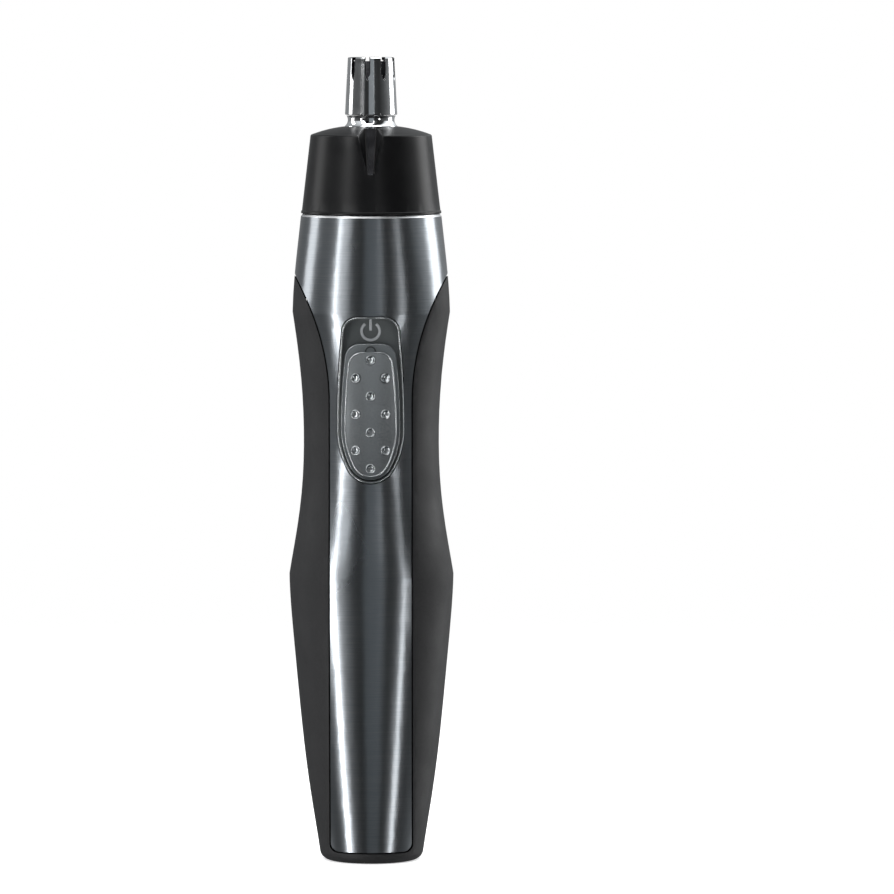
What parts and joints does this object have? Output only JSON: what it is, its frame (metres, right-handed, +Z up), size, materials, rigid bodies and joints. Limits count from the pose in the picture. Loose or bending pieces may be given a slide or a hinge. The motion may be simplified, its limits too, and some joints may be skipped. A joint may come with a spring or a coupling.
{
  "type": "nose hair trimmer",
  "caption": "Slim battery-powered nose and ear hair trimmer with a steel body, soft side grips, sliding switch and lift-off rotary head.",
  "frame": {"origin": "centre of the flat base that it stands on", "axes": "+Z up along the handle towards the cutter, -Y the front with the switch, +X to the right seen from the front"},
  "size_m": [0.0276, 0.0243, 0.1349],
  "materials": {
    "brushed_shell": "dark satin, fine horizontal brushing",
    "grip_rubber": "matte, fine grain",
    "black_plastic": "matte moulded",
    "bezel_plastic": "satin dark grey",
    "slider_plastic": "smoky metallic gloss",
    "head_black": "satin black",
    "polished_chrome": "mirror polished",
    "blade_steel": "ground",
    "zinc_steel": "plated",
    "contact_brass": "bright",
    "copper_wire": "enamelled copper",
    "core_steel": "stacked laminations",
    "magnet_grey": "sintered ferrite",
    "motor_plastic": "natural moulded",
    "lead_red": "wire insulation",
    "board_green": "solder mask",
    "can_aluminium": "drawn can",
    "battery_film": "printed film without lettering",
    "lamp_clear": "clear moulded",
    "seal_rubber": "moulded rubber"
  },
  "bodies": {
    "handle": {"steel_sleeve": "brushed_shell", "soft_grip": "grip_rubber", "chassis_front": "black_plastic", "chassis_rear": "black_plastic", "chassis_screws": "zinc_steel", "switch_bezel": "bezel_plastic", "circuit_board": "board_green", "switch_contacts": "contact_brass", "boost_coil": "copper_wire", "driver_chip": "black_plastic", "smoothing_capacitor": "can_aluminium", "battery_can": "zinc_steel", "battery_positive_cap": "zinc_steel", "battery_wrap": "battery_film", "positive_contact": "zinc_steel", "negative_spring": "zinc_steel", "contact_strip": "contact_brass", "motor_can": "zinc_steel", "motor_end_cap": "motor_plastic", "motor_bearings": "contact_brass", "motor_magnets": "magnet_grey", "motor_brushes": "copper_wire", "motor_terminals": "contact_brass", "motor_leads": "lead_red", "motor_damper": "seal_rubber", "head_socket": "black_plastic", "socket_screws": "zinc_steel", "led_lamp": "lamp_clear", "led_leads": "zinc_steel"},
    "door": {"battery_door": "brushed_shell"},
    "switch": {"slider_cap": "slider_plastic", "slider_carriage": "black_plastic", "switch_wiper": "contact_brass"},
    "motor_rotor": {"motor_shaft": "zinc_steel", "armature_core": "core_steel", "armature_windings": "copper_wire", "commutator": "copper_wire", "drive_coupling": "motor_plastic"},
    "head": {"head_housing": "head_black", "light_window": "lamp_clear", "head_base_ring": "black_plastic", "seal_ring": "seal_rubber", "neck_collar": "polished_chrome", "guard_barrel": "polished_chrome", "head_bushing": "motor_plastic"},
    "cutter": {"cutter_rotor": "blade_steel", "cutter_spindle": "zinc_steel", "spindle_spring": "zinc_steel", "retaining_clip": "zinc_steel"}
  },
  "joints": [
    {"name": "power_slide", "type": "slide", "parent": "handle", "child": "switch", "axis": [0, 0, 1], "range_m": [0, 0.0035]},
    {"name": "motor_spin", "type": "hinge", "parent": "handle", "child": "motor_rotor", "pos_m": [0, 0, 0.09], "axis": [0, 0, 1], "continuous": true},
    {"name": "head_lift", "type": "slide", "parent": "handle", "child": "head", "axis": [0, 0, 1], "range_m": [0, 0.03]},
    {"name": "cutter_spin", "type": "hinge", "parent": "head", "child": "cutter", "pos_m": [0, 0, 0.12], "axis": [0, 0, 1], "continuous": true},
    {"name": "door_tilt", "type": "hinge", "parent": "handle", "child": "door", "pos_m": [0, 0.009, 0.0048], "axis": [-1, 0, 0], "range_deg": [0, 45]}
  ],
  "couplings": [
    {"joint": "cutter_spin", "follows": "motor_spin", "ratio": 1}
  ]
}
